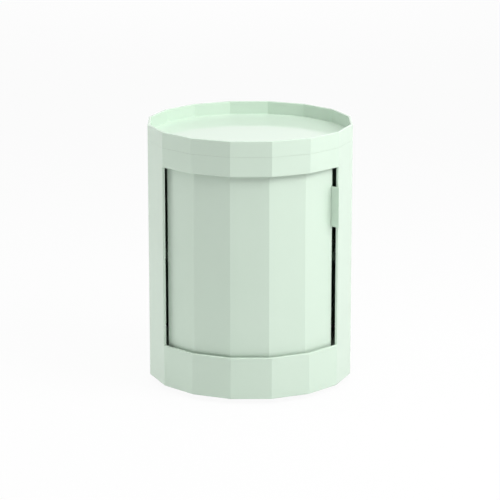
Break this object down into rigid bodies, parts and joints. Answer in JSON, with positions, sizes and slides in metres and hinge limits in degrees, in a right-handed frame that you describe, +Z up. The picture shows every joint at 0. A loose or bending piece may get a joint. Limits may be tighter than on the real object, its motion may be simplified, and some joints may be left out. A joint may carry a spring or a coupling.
{
  "type": "mobile storage cabinet",
  "caption": "Faceted round steel cabinet with a tray top, a curved door that revolves behind the shell, an inner shelf and swivel castors hidden behind the skirt.",
  "frame": {"origin": "on the floor, under the drum's axis", "axes": "+Z up along the drum's axis; the door and its opening face -Y; +X is to the right seen from the front"},
  "size_m": [0.4, 0.4, 0.5195],
  "materials": {
    "mint_coat": "semi-gloss mint-green powder coat on sheet steel",
    "zinc_steel": "bright zinc-plated steel",
    "white_nylon": "natural white nylon",
    "grey_plastic": "moulded grey plastic",
    "black_rubber": "matt black rubber",
    "tyre_rubber": "soft dark tread"
  },
  "bodies": {
    "cabinet": {"outer_shell": "mint_coat", "top_tray": "mint_coat", "top_plate": "mint_coat", "floor_pan": "mint_coat", "base_pan": "mint_coat", "top_rail": "zinc_steel", "bottom_rail": "zinc_steel", "stop_closed": "black_rubber", "stop_open": "black_rubber", "shelf": "mint_coat", "shelf_post_1": "zinc_steel", "shelf_post_2": "zinc_steel", "shelf_post_3": "zinc_steel", "shelf_post_4": "zinc_steel", "shelf_collar_1": "zinc_steel", "shelf_collar_2": "zinc_steel", "shelf_collar_3": "zinc_steel", "shelf_collar_4": "zinc_steel", "tray_screw_1": "zinc_steel", "tray_screw_2": "zinc_steel", "tray_screw_3": "zinc_steel", "tray_screw_4": "zinc_steel", "caster_stem_1": "zinc_steel", "caster_stem_2": "zinc_steel", "caster_stem_3": "zinc_steel", "caster_stem_4": "zinc_steel", "caster_nut_1": "zinc_steel", "caster_nut_2": "zinc_steel", "caster_nut_3": "zinc_steel", "caster_nut_4": "zinc_steel"},
    "door": {"door_panel": "mint_coat", "door_pull": "mint_coat", "door_foot_glide_1": "white_nylon", "door_foot_glide_2": "white_nylon", "door_head_glide_1": "white_nylon", "door_head_glide_2": "white_nylon"},
    "caster_1": {"caster_fork_1": "zinc_steel", "caster_axle_1": "zinc_steel"},
    "caster_2": {"caster_fork_2": "zinc_steel", "caster_axle_2": "zinc_steel"},
    "caster_3": {"caster_fork_3": "zinc_steel", "caster_axle_3": "zinc_steel"},
    "caster_4": {"caster_fork_4": "zinc_steel", "caster_axle_4": "zinc_steel"},
    "wheel_1": {"caster_wheel_1": "grey_plastic", "caster_tyre_1": "tyre_rubber"},
    "wheel_2": {"caster_wheel_2": "grey_plastic", "caster_tyre_2": "tyre_rubber"},
    "wheel_3": {"caster_wheel_3": "grey_plastic", "caster_tyre_3": "tyre_rubber"},
    "wheel_4": {"caster_wheel_4": "grey_plastic", "caster_tyre_4": "tyre_rubber"}
  },
  "joints": [
    {"name": "door_slide", "type": "hinge", "parent": "cabinet", "child": "door", "pos_m": [0, 0, 0.2715], "axis": [0, 0, -1], "range_deg": [0, 104]},
    {"name": "caster_1_swivel", "type": "hinge", "parent": "cabinet", "child": "caster_1", "pos_m": [0.09864, -0.09864, 0.0545], "axis": [0, 0, 1], "continuous": true},
    {"name": "caster_2_swivel", "type": "hinge", "parent": "cabinet", "child": "caster_2", "pos_m": [0.09864, 0.09864, 0.0545], "axis": [0, 0, 1], "continuous": true},
    {"name": "caster_3_swivel", "type": "hinge", "parent": "cabinet", "child": "caster_3", "pos_m": [-0.09864, 0.09864, 0.0545], "axis": [0, 0, 1], "continuous": true},
    {"name": "caster_4_swivel", "type": "hinge", "parent": "cabinet", "child": "caster_4", "pos_m": [-0.09864, -0.09864, 0.0545], "axis": [0, 0, 1], "continuous": true},
    {"name": "wheel_1_roll", "type": "hinge", "parent": "caster_1", "child": "wheel_1", "pos_m": [0.09864, -0.08064, 0.021], "axis": [1, 0, 0], "continuous": true},
    {"name": "wheel_2_roll", "type": "hinge", "parent": "caster_2", "child": "wheel_2", "pos_m": [0.09864, 0.11664, 0.021], "axis": [1, 0, 0], "continuous": true},
    {"name": "wheel_3_roll", "type": "hinge", "parent": "caster_3", "child": "wheel_3", "pos_m": [-0.09864, 0.11664, 0.021], "axis": [1, 0, 0], "continuous": true},
    {"name": "wheel_4_roll", "type": "hinge", "parent": "caster_4", "child": "wheel_4", "pos_m": [-0.09864, -0.08064, 0.021], "axis": [1, 0, 0], "continuous": true}
  ]
}
